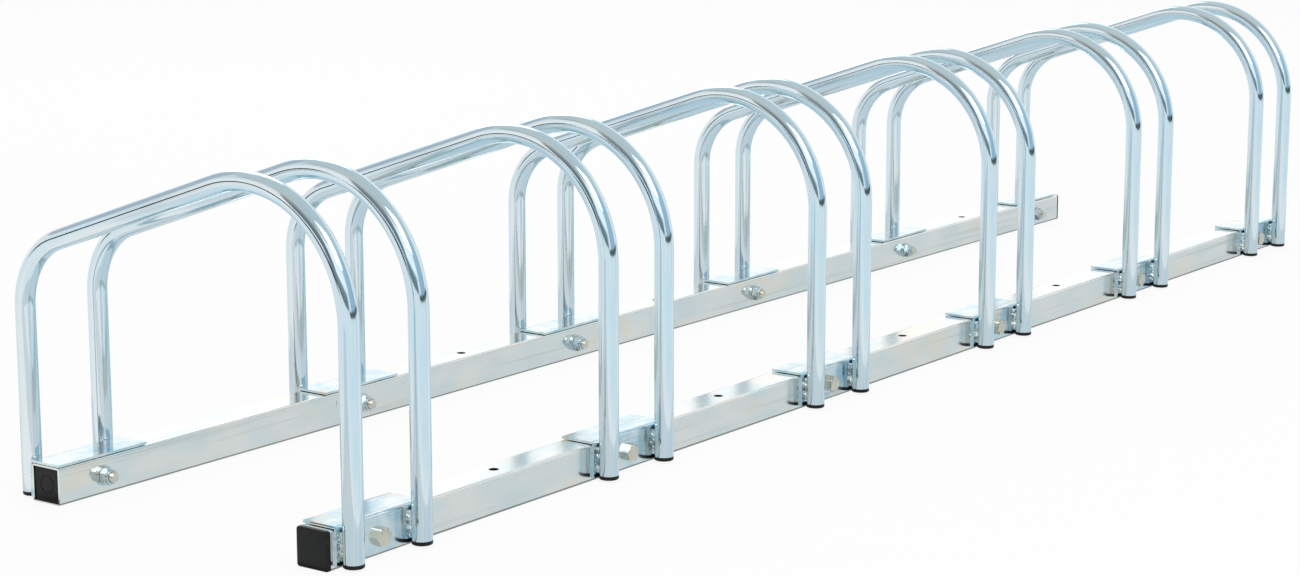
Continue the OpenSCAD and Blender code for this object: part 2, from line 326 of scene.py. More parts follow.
def soft_square(half: float, radius: float, columns: int) -> np.ndarray:
    """Square outline with round corners, as corner centres plus arcs at even angles.

    Args:
        half: Half of its side.
        radius: Corner radius. A radius equal to half gives a circle.
        columns: Number of points, a multiple of four.

    Returns:
        The points, columns by two.
    """
    angle = 2 * math.pi * (np.arange(columns) + 0.5) / columns
    quarter = np.floor(angle / (math.pi / 2)) * math.pi / 2 + math.pi / 4
    corner = np.sign(np.stack([np.cos(quarter), np.sin(quarter)], -1))
    arc = np.stack([np.cos(angle), np.sin(angle)], -1)
    return (half - radius) * corner + radius * arc


# Finishes


def srgb(text: str) -> tuple[float, float, float, float]:
    """Turns an sRGB hex colour into the linear colour that the shaders take.

    Args:
        text: Colour such as "#a9b2b1".

    Returns:
        Linear red, green and blue, and an alpha of one.
    """
    part = np.array([int(text[i : i + 2], 16) for i in (1, 3, 5)]) / 255
    linear = np.where(part <= 0.04045, part / 12.92, ((part + 0.055) / 1.055) ** 2.4)
    return (*(float(x) for x in linear), 1.0)


def add_node(
    tree: bpy.types.NodeTree,
    kind: str,
    inputs: dict[str | int, object] | None = None,
    **settings: object,
) -> bpy.types.Node:
    """Adds a node with its settings, and sets or links its inputs.

    Args:
        tree: Node tree that it goes into.
        kind: Node type.
        inputs: Value or output socket for each input, by name or number.
        settings: Values of the node's own properties.

    Returns:
        The new node.
    """
    node = tree.nodes.new(kind)
    for name, value in settings.items():
        setattr(node, name, value)
    for key, value in (inputs or {}).items():
        if isinstance(value, bpy.types.NodeSocket):
            tree.links.new(value, node.inputs[key])
        else:
            node.inputs[key].default_value = value
    return node


def blank_material(name: str) -> tuple[bpy.types.Material, bpy.types.NodeTree]:
    """Makes a material with an empty node tree.

    Args:
        name: Name of the material.

    Returns:
        The material and its tree.
    """
    material = bpy.data.materials.new(name)
    material.use_nodes = True
    material.node_tree.nodes.clear()
    return material, material.node_tree


def surface_coordinates(
    tree: bpy.types.NodeTree, follows_piece: bool = False, stretch: Triple = EVEN
) -> bpy.types.NodeSocket:
    """Coordinates in metres for a pattern, stretched along the way the metal was drawn.

    Args:
        tree: Node tree.
        follows_piece: True to follow the piece's own UV map, in metres too.
        stretch: Factor on each axis. A small one draws the pattern out along that axis.

    Returns:
        Socket with the coordinates.
    """
    if follows_piece:
        source = add_node(tree, "ShaderNodeUVMap", uv_map=UV_NAME).outputs["UV"]
    else:
        source = add_node(tree, "ShaderNodeTexCoord").outputs["Object"]
    return add_node(tree, "ShaderNodeMapping", {"Vector": source, "Scale": stretch}).outputs[0]


def patches_of(
    tree: bpy.types.NodeTree,
    coordinates: bpy.types.NodeSocket,
    size_mm: float,
    band: Span,
    octaves: float = USUAL_OCTAVES,
) -> bpy.types.NodeSocket:
    """A soft mask of patches of the given real size.

    Args:
        tree: Node tree.
        coordinates: Pattern coordinates in metres.
        size_mm: Real width of a patch.
        band: Noise values at which the mask is zero and one.
        octaves: Octaves of finer variation.

    Returns:
        Socket with the mask, from zero to one.
    """
    noise = add_node(
        tree,
        "ShaderNodeTexNoise",
        {"Vector": coordinates, "Scale": 1 / (size_mm * MM), "Detail": octaves},
    )
    limits = {"Value": noise.outputs[0], "From Min": band[0], "From Max": band[1]}
    return add_node(tree, "ShaderNodeMapRange", limits).outputs[0]


def layered_colour(
    tree: bpy.types.NodeTree, base: str, layers: Sequence[tuple[bpy.types.NodeSocket, str]]
) -> bpy.types.NodeSocket:
    """Lays colours over a base colour, one after the other.

    Args:
        tree: Node tree.
        base: The lowest colour.
        layers: A mask and a colour for each layer, which covers where its mask is one.

    Returns:
        Socket with the final colour.
    """
    colour = srgb(base)
    for mask, text in layers:
        inputs = {0: mask, 6: colour, 7: srgb(text)}
        colour = add_node(tree, "ShaderNodeMix", inputs, data_type="RGBA").outputs[2]
    return colour


def layered_relief(
    tree: bpy.types.NodeTree, layers: Sequence[tuple[bpy.types.NodeSocket, float]]
) -> bpy.types.NodeSocket:
    """Bends the surface's normal by height patterns of real depths, from coarse to fine.

    Args:
        tree: Node tree.
        layers: A pattern from zero to one, and the real height of one in millimetres, for each.

    Returns:
        Socket with the normal.
    """
    under = {}
    for height, depth_mm in layers:
        inputs = {"Height": height, "Distance": depth_mm * MM, "Strength": 1.0, **under}
        under = {"Normal": add_node(tree, "ShaderNodeBump", inputs).outputs[0]}
    return under["Normal"]


@dataclass(frozen=True)
class Coat:
    """A finished material, with the name of its slot."""

    material: bpy.types.Material
    slot: str


@dataclass(frozen=True)
class BrightZinc:
    """Bright zinc plate with a clear blue passivate on drawn steel.

    The steel was drawn and then barrel or rack plated. That leaves a nearly mirror-like,
    slightly wavy face with fine lines along the draw, a blue cast, and faint warm patches
    where the passivate is thicker. The lines are drawn coarser than real ones, which would
    be too fine to show.
    """

    name: str
    slot: str
    pale: str = "#e0e9ec"
    blue: str = "#bfdcea"
    warm: str = "#dfdcd4"
    dull: str = "#aebbc0"
    roughness: float = 0.07
    rough_patch: float = 0.16
    patch_mm: float = 22.0
    blue_band: Span = (0.36, 0.62)
    warm_band: Span = (0.56, 0.74)
    warm_spread: float = 1.7
    dull_band: Span = (0.58, 0.8)
    dull_spread: float = 8.0
    dull_octaves: float = 4.0
    line_mm: float = 0.5
    line_depth_mm: float = 0.004
    line_octaves: float = 2.0
    wave_mm: float = 16.0
    wave_depth_mm: float = 0.05
    wave_octaves: float = 1.0
    follows_piece: bool = False
    stretch: Triple = EVEN
    line_stretch: Triple = EVEN

    def build(self) -> Coat:
        """Builds the material from colour patches, draw lines and a slow waviness.

        Returns:
            The coat.
        """
        material, tree = blank_material(self.name)
        broad = surface_coordinates(tree, self.follows_piece, self.stretch)
        lines = surface_coordinates(tree, self.follows_piece, self.line_stretch)
        blue = patches_of(tree, broad, self.patch_mm, self.blue_band)
        warm = patches_of(tree, broad, self.patch_mm * self.warm_spread, self.warm_band)
        dull_mm = self.line_mm * self.dull_spread
        dull = patches_of(tree, lines, dull_mm, self.dull_band, self.dull_octaves)
        wave = patches_of(tree, broad, self.wave_mm, FULL_BAND, self.wave_octaves)
        line = patches_of(tree, lines, self.line_mm, FULL_BAND, self.line_octaves)
        layers = [(blue, self.blue), (warm, self.warm), (dull, self.dull)]
        rough = add_node(
            tree,
            "ShaderNodeMapRange",
            {"Value": dull, "To Min": self.roughness, "To Max": self.rough_patch},
        )
        shader = add_node(
            tree,
            "ShaderNodeBsdfPrincipled",
            {
                "Base Color": layered_colour(tree, self.pale, layers),
                "Roughness": rough.outputs[0],
                "Metallic": 1.0,
                "Normal": layered_relief(
                    tree, [(wave, self.wave_depth_mm), (line, self.line_depth_mm)]
                ),
            },
        )
        add_node(tree, "ShaderNodeOutputMaterial", {"Surface": shader.outputs[0]})
        return Coat(material, self.slot)


@dataclass(frozen=True)
class WeldZinc:
    """Plated weld metal.

    The arc left overlapping ripples and spatter, and the plating took unevenly over them.
    The eye gets small sparkling facets with dark crevices; the crevices' darkness is painted shade,
    laid as dark patches where a noise puts them.
    """

    name: str = "weld_zinc"
    slot: str = "weld_metal"
    bright: str = "#e0e4e2"
    # painted shade: the colour of the crevices between the ripples
    dark: str = "#7a8586"
    blue: str = "#b3cfdb"
    roughness: float = 0.21
    grain_mm: float = 1.7
    grain_depth_mm: float = 0.26
    grain_band: Span = (0.3, 0.7)
    crevice_shade_band: Span = (0.46, 0.64)
    crevice_shade_spread: float = 2.4
    tint_band: Span = (0.45, 0.65)
    tint_spread: float = 9.0
    octaves: float = 4.0

    def build(self) -> Coat:
        """Builds the material from sparkling grains, with painted shade in dark patches for the
        hollows.

        Returns:
            The coat.
        """
        material, tree = blank_material(self.name)
        place = surface_coordinates(tree)
        grain = patches_of(tree, place, self.grain_mm, self.grain_band, self.octaves)
        # painted shade: dark patches that stand for the crevices between the ripples
        crevice_shade_mm = self.grain_mm * self.crevice_shade_spread
        hollow = patches_of(tree, place, crevice_shade_mm, self.crevice_shade_band, self.octaves)
        tint = patches_of(tree, place, self.grain_mm * self.tint_spread, self.tint_band)
        layers = [(tint, self.blue), (hollow, self.dark)]
        shader = add_node(
            tree,
            "ShaderNodeBsdfPrincipled",
            {
                "Base Color": layered_colour(tree, self.bright, layers),
                "Roughness": self.roughness,
                "Metallic": 1.0,
                "Normal": layered_relief(tree, [(grain, self.grain_depth_mm)]),
            },
        )
        add_node(tree, "ShaderNodeOutputMaterial", {"Surface": shader.outputs[0]})
        return Coat(material, self.slot)


@dataclass(frozen=True)
class BlackPolyethylene:
    """Black polyethylene, injection moulded against a spark-eroded tool.

    That gives a soft black with a fine even grain, a dull sheen, and paler scuffs.
    """

    name: str = "black_polyethylene"
    slot: str = "black_plastic"
    black: str = "#0f0d0c"
    scuffed: str = "#2b2826"
    ior: float = 1.51
    specular: float = 0.28
    roughness: float = 0.42
    rough_scuff: float = 0.62
    grain_mm: float = 0.45
    grain_depth_mm: float = 0.02
    grain_band: Span = (0.3, 0.7)
    grain_octaves: float = 2.0
    scuff_mm: float = 7.0
    scuff_band: Span = (0.58, 0.78)
    scuff_octaves: float = 5.0

    def build(self) -> Coat:
        """Builds the material from a fine grain and pale scuffs.

        Returns:
            The coat.
        """
        material, tree = blank_material(self.name)
        place = surface_coordinates(tree)
        scuff = patches_of(tree, place, self.scuff_mm, self.scuff_band, self.scuff_octaves)
        grain = patches_of(tree, place, self.grain_mm, self.grain_band, self.grain_octaves)
        rough = add_node(
            tree,
            "ShaderNodeMapRange",
            {"Value": scuff, "To Min": self.roughness, "To Max": self.rough_scuff},
        )
        shader = add_node(
            tree,
            "ShaderNodeBsdfPrincipled",
            {
                "Base Color": layered_colour(tree, self.black, [(scuff, self.scuffed)]),
                "Roughness": rough.outputs[0],
                "IOR": self.ior,
                "Specular IOR Level": self.specular,
                "Normal": layered_relief(tree, [(grain, self.grain_depth_mm)]),
            },
        )
        add_node(tree, "ShaderNodeOutputMaterial", {"Surface": shader.outputs[0]})
        return Coat(material, self.slot)


def hoop_finish() -> BrightZinc:
    """Drawn tube: lines and patches run along the tube, which is the second UV axis.

    Returns:
        The finish of the hoops.
    """
    return BrightZinc(
        name="hoop_bright_zinc",
        slot="hoop_zinc",
        follows_piece=True,
        roughness=0.09,
        rough_patch=0.19,
        patch_mm=14.0,
        stretch=(1.0, 0.07, 1.0),
        line_stretch=(1.0, 0.015, 1.0),
    )


def rail_finish() -> BrightZinc:
    """Welded square tube, plated over its mill finish: a softer, greyer mirror, lined along X.

    Returns:
        The finish of the rails and sleeves.
    """
    return BrightZinc(
        name="rail_zinc_plate",
        slot="rail_zinc",
        pale="#e9e9e4",
        blue="#d9e3e4",
        warm="#eae3d4",
        dull="#cfd2cd",
        roughness=0.14,
        rough_patch=0.26,
        patch_mm=26.0,
        line_mm=0.6,
        wave_mm=24.0,
        wave_depth_mm=0.03,
        stretch=(0.45, 1.0, 1.0),
        line_stretch=(0.015, 1.0, 1.0),
    )


def bracket_finish() -> BrightZinc:
    """Cold-rolled strip, bright plated: mirror-like, with lines along the strip.

    Returns:
        The finish of the brackets.
    """
    return BrightZinc(
        name="bracket_bright_zinc",
        slot="bracket_zinc",
        pale="#dee7e9",
        blue="#b9d6e2",
        warm="#d5d0c2",
        dull="#a3afb3",
        roughness=0.13,
        rough_patch=0.26,
        patch_mm=14.0,
        stretch=(0.8, 1.0, 1.0),
        line_stretch=(0.03, 1.0, 1.0),
    )


def bolt_finish() -> BrightZinc:
    """Cold-headed and barrel plated: small tumbling marks, and a cream cast.

    Returns:
        The finish of the bolts.
    """
    return BrightZinc(
        name="bolt_zinc",
        slot="fastener_zinc",
        pale="#dcd5c3",
        blue="#c9cbc3",
        warm="#d9cba8",
        dull="#a9a493",
        roughness=0.22,
        rough_patch=0.36,
        patch_mm=6.0,
        line_mm=0.7,
        line_depth_mm=0.012,
        wave_mm=5.0,
        wave_depth_mm=0.03,
    )


def nut_finish() -> BrightZinc:
    """Nuts and washers, barrel plated in a batch of their own: brighter and cooler.

    Returns:
        The finish of the nuts and washers.
    """
    return replace(
        bolt_finish(),
        name="nut_zinc",
        pale="#d3dadb",
        blue="#b9cdd5",
        warm="#cfcfc6",
        dull="#9aa3a4",
        roughness=0.18,
        rough_patch=0.3,
    )


def dress(piece: bpy.types.Object, material: bpy.types.Material) -> None:
    """Gives a piece its material in place of whatever it had."""
    piece.data.materials.clear()
    piece.data.materials.append(material)


def settle(piece: bpy.types.Object, coat: Coat, *nodes: str) -> None:
    """Dresses a new piece, hides the nodes it stands for, and sets it on the body.

    Args:
        piece: The new piece.
        coat: Its material and slot.
        nodes: CAD nodes that it stands for.
    """
    dress(piece, coat.material)
    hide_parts(*nodes)
    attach(piece, BODY)
    log.info("%s: %d faces, for %s", piece.name, len(piece.data.polygons), ", ".join(nodes))


# Places


@dataclass(frozen=True)
class Places:
    """Where the pieces sit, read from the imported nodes."""

    place_x: tuple[float, ...]
    leg_offset: float
    tube_r: float
    leg_y: float
    plate_y: float
    bolt_z: float

    @classmethod
    def read(cls) -> "Places":
        """Reads the places from the boxes of the brackets, the first hoop and the bolts.

        Returns:
            The places.
        """
        count = sum(name.startswith("near_bracket_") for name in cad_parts)
        brackets = [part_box(f"near_bracket_{number}") for number in range(1, count + 1)]
        place_x = tuple((low.x + high.x) / 2 for low, high in brackets)
        low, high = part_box("hoop_1_left")
        bolt_low, bolt_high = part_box("near_bolts")
        tube_r = (high.x - low.x) / 2
        return cls(
            place_x=place_x,
            leg_offset=place_x[0] - (high.x + low.x) / 2,
            tube_r=tube_r,
            leg_y=(high.y - low.y) / 2 - tube_r,
            plate_y=-brackets[0][0].y,
            bolt_z=(bolt_low.z + bolt_high.z) / 2,
        )

    def leg_x(self, place: float, end: End) -> float:
        """Middle of the legs of the left or right hoop at a wheel place."""
        return place + end.value * self.leg_offset


# Hoops


@dataclass
class Hoops:
    """The twelve bent tubes: near leg, tall bend, falling bar, far bend, far leg."""

    places: Places
    wall: float = 1.2 * MM
    near_bend: float = 95 * MM
    far_bend: float = 60 * MM
    slope: float = math.radians(19)
    flatten: float = 0.25 * MM
    swell_power: float = 0.5
    wrinkle: float = 0.05 * MM
    wrinkle_pitch: float = 13 * MM
    edge: float = 0.3 * MM
    columns: int = 48
    leg_rows: int = 24
    bend_rows: int = 56
    bar_rows: int = 16
    inner_step: int = 4

    def path(self, foot: float, crest: float) -> tuple[np.ndarray, np.ndarray, np.ndarray]:
        """Works out the tube's axis: straight runs and arcs that leave each other tangent.

        Args:
            foot: Height of the legs' lower ends.
            crest: Height of the tube's highest point.

        Returns:
            Path points in Y and Z, the outward direction at each, and how far each lies
            inside a bend, from zero to one.
        """
        leg_y, near, far, fall = self.places.leg_y, self.near_bend, self.far_bend, self.slope
        bar_out = np.array([math.sin(fall), math.cos(fall)])
        near_centre = np.array([-leg_y + near, crest - self.places.tube_r - near])
        start = near_centre + near * bar_out
        end_y = leg_y - far * (1 - math.sin(fall))
        end = np.array([end_y, start[1] - (end_y - start[0]) * math.tan(fall)])
        far_centre = end - far * bar_out
        up = np.linspace(foot, near_centre[1], self.leg_rows, endpoint=False)
        near_turn = np.linspace(math.pi, math.pi / 2 - fall, self.bend_rows, endpoint=False)
        share = np.linspace(0, 1, self.bar_rows, endpoint=False)
        far_turn = np.linspace(math.pi / 2 - fall, 0, self.bend_rows, endpoint=False)
        down = np.linspace(far_centre[1], foot, self.leg_rows)
        near_out = np.stack([np.cos(near_turn), np.sin(near_turn)], -1)
        far_out = np.stack([np.cos(far_turn), np.sin(far_turn)], -1)
        stretches = [
            (np.stack([np.full_like(up, -leg_y), up], -1), np.tile([-1.0, 0.0], (len(up), 1))),
            (near_centre + near * near_out, near_out),
            (start + share[:, None] * (end - start), np.tile(bar_out, (len(share), 1))),
            (far_centre + far * far_out, far_out),
            (np.stack([np.full_like(down, leg_y), down], -1), np.tile([1.0, 0.0], (len(down), 1))),
        ]
        half_turn = np.linspace(0, math.pi, self.bend_rows, endpoint=False)
        swell = np.sin(half_turn) ** self.swell_power
        bent = [np.zeros(len(up)), swell, np.zeros(len(share)), swell, np.zeros(len(down))]
        points = np.concatenate([points for points, _ in stretches])
        out = np.concatenate([directions for _, directions in stretches])
        return points, out, np.concatenate(bent)

    def tube(self, x: float, foot: float, crest: float) -> Patch:
        """Builds one hoop's surface: its skin, a small rounded rim at each foot, and its bore.

        The outer radius is the tube's radius, less a little in the plane of a bend where the
        tube flattens, and less faint wrinkles on a bend's inner side.

        Args:
            x: Middle of the hoop.
            foot: Height of the legs' lower ends.
            crest: Height of the tube's highest point.

        Returns:
            The patch.
        """
        points, out, bent = self.path(foot, crest)
        angle = ring_angles(self.columns)
        cos, sin = np.cos(angle)[None, :], np.sin(angle)[None, :]
        run = np.concatenate([[0], np.cumsum(np.linalg.norm(np.diff(points, axis=0), axis=1))])
        flat = self.flatten * bent[:, None] * cos**2
        inside = np.clip(-cos, 0, 1) ** 2
        ripple = 0.5 - 0.5 * np.cos(2 * math.pi * run / self.wrinkle_pitch)[:, None]
        outer = self.places.tube_r - flat - self.wrinkle * inside * ripple * bent[:, None]
        back = np.r_[np.arange(len(points) - 1, 0, -self.inner_step), 0]
        inner = np.full((len(back), self.columns), self.places.tube_r - self.wall)
        rows = np.concatenate([outer[:1] - self.edge, outer, outer[-1:] - self.edge, inner])
        order = np.r_[0, np.arange(len(points)), len(points) - 1, back]
        axis = points[order]
        axis[[1, len(points)], 1] += self.edge
        centres = np.insert(axis, 0, x, axis=1)
        first = np.insert(out[order], 0, 0.0, axis=1)
        second = np.tile(X_AXIS, (len(order), 1))
        sections = np.stack([rows * cos, rows * sin], -1)
        return swept(centres, first, second, sections, rows_close=True)

    def build(self, coat: Coat) -> None:
        """Builds every hoop as a piece of its own.

        Args:
            coat: Material and slot.
        """
        for number, place in enumerate(self.places.place_x, 1):
            for end in End:
                name = f"{number}_{end.label}"
                low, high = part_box(f"hoop_{name}")
                tube = self.tube(self.places.leg_x(place, end), low.z, high.z)
                settle(make_piece(f"hoop_tube_{name}", [tube]), coat, f"hoop_{name}")


# Welds


@dataclass
class WeldBeads:
    """Upright weld beads in the corners between the legs and the bracket plates."""

    places: Places
    radius: float = 2.5 * MM
    rise: float = 0.8 * MM
    seam_share: float = 0.6
    ripple_pitch: float = 3.1 * MM
    ripple: float = 0.28
    ripple_power: float = 1.6
    chevron: float = 0.5
    lump: float = 0.2
    lump_rates: Span = (17.0, 31.0)
    lump_twists: Span = (2.0, 3.0)
    drift_share: float = 0.12
    drift_rate: float = 9.0
    end_share: float = 0.004
    end_power: float = 7.0
    sharp_deg: float = 60.0
    columns: int = 24
    rows: int = 64
    seed: int = 41

    def bead(self, x: float, y: float, low: float, high: float, rng: np.random.Generator) -> Patch:
        """Builds one bead along Z.

        The radius falls to zero at both ends along a blunt curve. Overlapping ripples, each
        swelling and then dropping off, run round it in chevrons, two slow waves of random
        phase make it lumpy, and its middle drifts a little from side to side.

        Args:
            x: Middle of the bead.
            y: Middle of the bead.
            low: Lower end.
            high: Upper end.
            rng: Source of the random phases.

        Returns:
            The bead's patch.
        """
        share = np.linspace(self.end_share, 1 - self.end_share, self.rows)
        height = low + (high - low) * share
        angle = ring_angles(self.columns)
        ends = np.clip(1 - np.abs(2 * share - 1) ** self.end_power, 0, 1) ** 0.5
        phase = (height[:, None] - low) / self.ripple_pitch + self.chevron * np.cos(angle)[None, :]
        phase = phase + rng.uniform()
        saw = (phase % 1.0) ** self.ripple_power
        slow = rng.uniform(0, 2 * math.pi, 4)
        (rate, faster), (twist, tighter) = self.lump_rates, self.lump_twists
        lumps = np.sin(share[:, None] * rate + slow[0] + twist * np.sin(angle + slow[1])[None, :])
        lumps += np.sin(share[:, None] * faster + slow[2] + tighter * np.cos(angle + slow[3])[None, :])
        radius = self.radius * ends[:, None] * (1 - self.ripple * saw + self.lump * lumps / 2)
        drift = self.drift_share * self.radius * np.sin(share * self.drift_rate + slow[1])
        centres = np.stack([x + drift, np.full_like(share, y), height], -1)
        sections = np.stack([radius * np.cos(angle), radius * np.sin(angle)], -1)
        first, second = np.tile(X_AXIS, (self.rows, 1)), np.tile(Y_AXIS, (self.rows, 1))
        return swept(centres, first, second, sections)

    def build(self, side: Side, coat: Coat) -> None:
        """Builds all beads of one side as one piece, one on either side of each leg.

        Args:
            side: Near or far rail.
            coat: Material and slot.
        """
        rng = np.random.default_rng(self.seed + int(side.value))
        node = f"{side.label}_weld_beads"
        low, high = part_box(node)
        y = side.value * (self.places.plate_y + self.rise)
        reach = self.seam_share * self.places.tube_r
        beads = [
            self.bead(self.places.leg_x(place, end) + seam.value * reach, y, low.z, high.z, rng)
            for place in self.places.place_x
            for end in End
            for seam in End
        ]
        settle(make_piece(f"{side.label}_welds", beads, self.sharp_deg), coat, node)


# Caps and plugs


@dataclass
class LegCaps:
    """Black moulded caps in the feet of the legs: a round head below, a ribbed stem inside."""

    places: Places
    head: float = 3 * MM
    lower_edge: float = 1.1 * MM
    upper_edge: float = 0.25 * MM
    hollow: float = 0.35 * MM
    hollow_shares: Triple = (0.15, 0.6, 0.75)
    rib_r: float = 6.7 * MM
    core_r: float = 5.5 * MM
    tip_share: float = 0.3
    stem: float = 14 * MM
    rib: float = 1.6 * MM
    rib_flat_share: float = 0.35
    ribs: int = 3

    def profile(self, radius: float) -> tuple[np.ndarray, np.ndarray]:
        """Radius and height of each ring, from the middle of the head's underside up.

        The underside is slightly hollow, its edge is a quarter circle, the rim a smaller one,
        and the stem has sloped ribs.

        Args:
            radius: Outer radius of the head.

        Returns:
            Radii and heights above the underside.
        """
        turn = quarter_turn()
        lower = radius - self.lower_edge + self.lower_edge * np.sin(turn)
        lower_z = self.lower_edge - self.lower_edge * np.cos(turn)
        upper = radius - self.upper_edge + self.upper_edge * np.cos(turn)
        upper_z = self.head - self.upper_edge + self.upper_edge * np.sin(turn)
        step = self.stem / self.ribs
        rib_base = self.head + step * (np.arange(self.ribs) + 1) - self.rib
        rib_rise = self.rib * np.array([0.0, 0.0, self.rib_flat_share, 1.0])
        rib_r = np.tile([self.core_r, self.rib_r, self.rib_r, self.core_r], self.ribs)
        rib_z = (rib_base[:, None] + rib_rise).ravel()
        start = radius * np.array(self.hollow_shares)
        start_z = np.array([self.hollow, self.hollow, 0.0])
        tip = self.tip_share * self.core_r
        radii = np.concatenate([start, lower, upper, [self.core_r], rib_r, [tip]])
        heights = np.concatenate([start_z, lower_z, upper_z, [self.head], rib_z, rib_z[-1:]])
        return radii, heights

    def build(self, side: Side, coat: Coat) -> None:
        """Builds all caps of one side as one piece.

        Args:
            side: Near or far rail.
            coat: Material and slot.
        """
        node = f"{side.label}_leg_caps"
        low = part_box(node)[0]
        radii, heights = self.profile(self.places.tube_r)
        y = side.value * self.places.leg_y
        bases = [
            Vector((self.places.leg_x(place, end), y, low.z))
            for place in self.places.place_x
            for end in End
        ]
        caps = [turned_profile(radii, heights, base, Vector(Z_AXIS)) for base in bases]
        settle(make_piece(f"{side.label}_caps", caps), coat, node)


@dataclass
class RailPlug:
    """Black moulded plug in a rail's end, with a ribbed hollow stem inside the tube.

    Its surface is a row of rings, rounded squares carried along X. A ring is its depth in the
    rail, half its side and its corner radius.
    """

    side: Side
    end: End
    rail_half: float = 15 * MM
    corner: float = 2.4 * MM
    head: float = 4 * MM
    dome: float = 0.35 * MM
    dome_shares: tuple[float, ...] = (0.1, 0.35, 0.6, 0.8)
    edge: float = 1.4 * MM
    edge_corner_share: float = 0.4
    least_corner: float = 1.2 * MM
    back_edge: float = 0.3 * MM
    mark_r: float = 7.5 * MM
    mark_w: float = 1.2 * MM
    mark_h: float = 0.4 * MM
    mark_shares: Triple = (0.15, 0.5, 0.85)
    middle_r: float = 1.5 * MM
    flat_half: float = 10 * MM
    flat_corner: float = 7 * MM
    inset_edge: float = 0.8 * MM
    shoulder: float = 0.25 * MM
    shoulder_depth: float = 0.2 * MM
    face: float = 2 * MM
    stem: float = 16 * MM
    core_half: float = 12.4 * MM
    wall: float = 1.6 * MM
    rib_half: float = 13.4 * MM
    rib: float = 1.5 * MM
    rib_flat_shares: Span = (0.25, 0.6)
    ribs: int = 3
    tip_share: float = 0.2
    inset_margin: float = 1 * MM
    columns: int = 64

    def stem_rings(self, start: float) -> list[Triple]:
        """Rings of the stem: ribs outside, then back along the hollow inside.

        Args:
            start: Depth at which the stem begins.

        Returns:
            The rings.
        """
        core, corner = self.core_half, self.corner
        rings = [(start, core, corner)]
        step = self.stem / self.ribs
        for i in range(self.ribs):
            base = start + step * (i + 1) - self.rib
            rings.append((base, core, corner))
            rings += [(base + s * self.rib, self.rib_half, corner) for s in self.rib_flat_shares]
            rings.append((base + self.rib, core, corner))
        inner, tip = core - self.wall, self.tip_share * (core - self.wall)
        bottom = start + self.face
        return rings + [(start + self.stem, inner, corner), (bottom, inner, corner), (bottom, tip, tip)]

    def head_rings(self) -> list[Triple]:
        """Rings of a head outside the tube, with a domed face and a rounded edge.

        Returns:
            The rings.
        """
        half, corner = self.rail_half, self.corner
        rings = []
        for share in self.dome_shares:
            flat = (half - self.edge) * share
            rings.append((-self.head + self.dome * share**3, flat, min(flat, corner * 2)))
        for angle in quarter_turn():
            inwards = self.edge * (1 - math.sin(angle))
            depth = -self.head + self.dome + self.edge * (1 - math.cos(angle))
            round_r = max(corner - self.edge_corner_share * inwards, self.least_corner)
            rings.append((depth, half - inwards, round_r))
        return rings + [(-self.back_edge, half, corner), (0.0, half - self.back_edge, corner)]

    def inset_rings(self) -> list[Triple]:
        """Rings of a face inside the tube: flat, with a moulded ring mark and a soft edge.

        Returns:
            The rings.
        """
        half, corner = self.rib_half, self.corner
        inner_r = self.mark_r - self.mark_w
        rings = [(0.0, self.middle_r, self.middle_r), (0.0, inner_r, inner_r)]
        for share in self.mark_shares:
            radius = self.mark_r - self.mark_w * (1 - share)
            rings.append((self.mark_h * math.sin(math.pi * share), radius, radius))
        return rings + [
            (0.0, self.mark_r, self.mark_r),
            (0.0, self.flat_half, self.flat_corner),
            (0.0, half - self.inset_edge, corner),
            (self.shoulder_depth, half - self.shoulder, corner),
            (self.inset_edge, half, corner),
            (self.face, half, corner),
        ]

    def build(self, coat: Coat) -> None:
        """Builds the plug, with a head where its node is as wide as the rail, or else inset.

        The depth counts from the rail's end, or from the face where the plug sits inside.

        Args:
            coat: Material and slot.
        """
        name = f"{self.side.label}_{self.end.label}"
        low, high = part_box(f"{name}_end_plug")
        inset = high.z - low.z < 2 * self.rail_half - self.inset_margin
        rings = self.inset_rings() if inset else self.head_rings()
        rings += self.stem_rings(self.face if inset else 0.0)
        outermost = low.x if self.end is End.LEFT else high.x
        start = outermost - (0.0 if inset else self.end.value * self.head)
        centres = np.tile([start, (low.y + high.y) / 2, (low.z + high.z) / 2], (len(rings), 1))
        centres[:, 0] -= self.end.value * np.array([depth for depth, _, _ in rings])
        sections = np.stack([soft_square(half, corner, self.columns) for _, half, corner in rings])
        first, second = np.tile(Y_AXIS, (len(rings), 1)), np.tile(Z_AXIS, (len(rings), 1))
        patch = swept(centres, first, second, sections)
        settle(make_piece(f"{name}_plug", [patch]), coat, f"{name}_end_plug")


# Fasteners


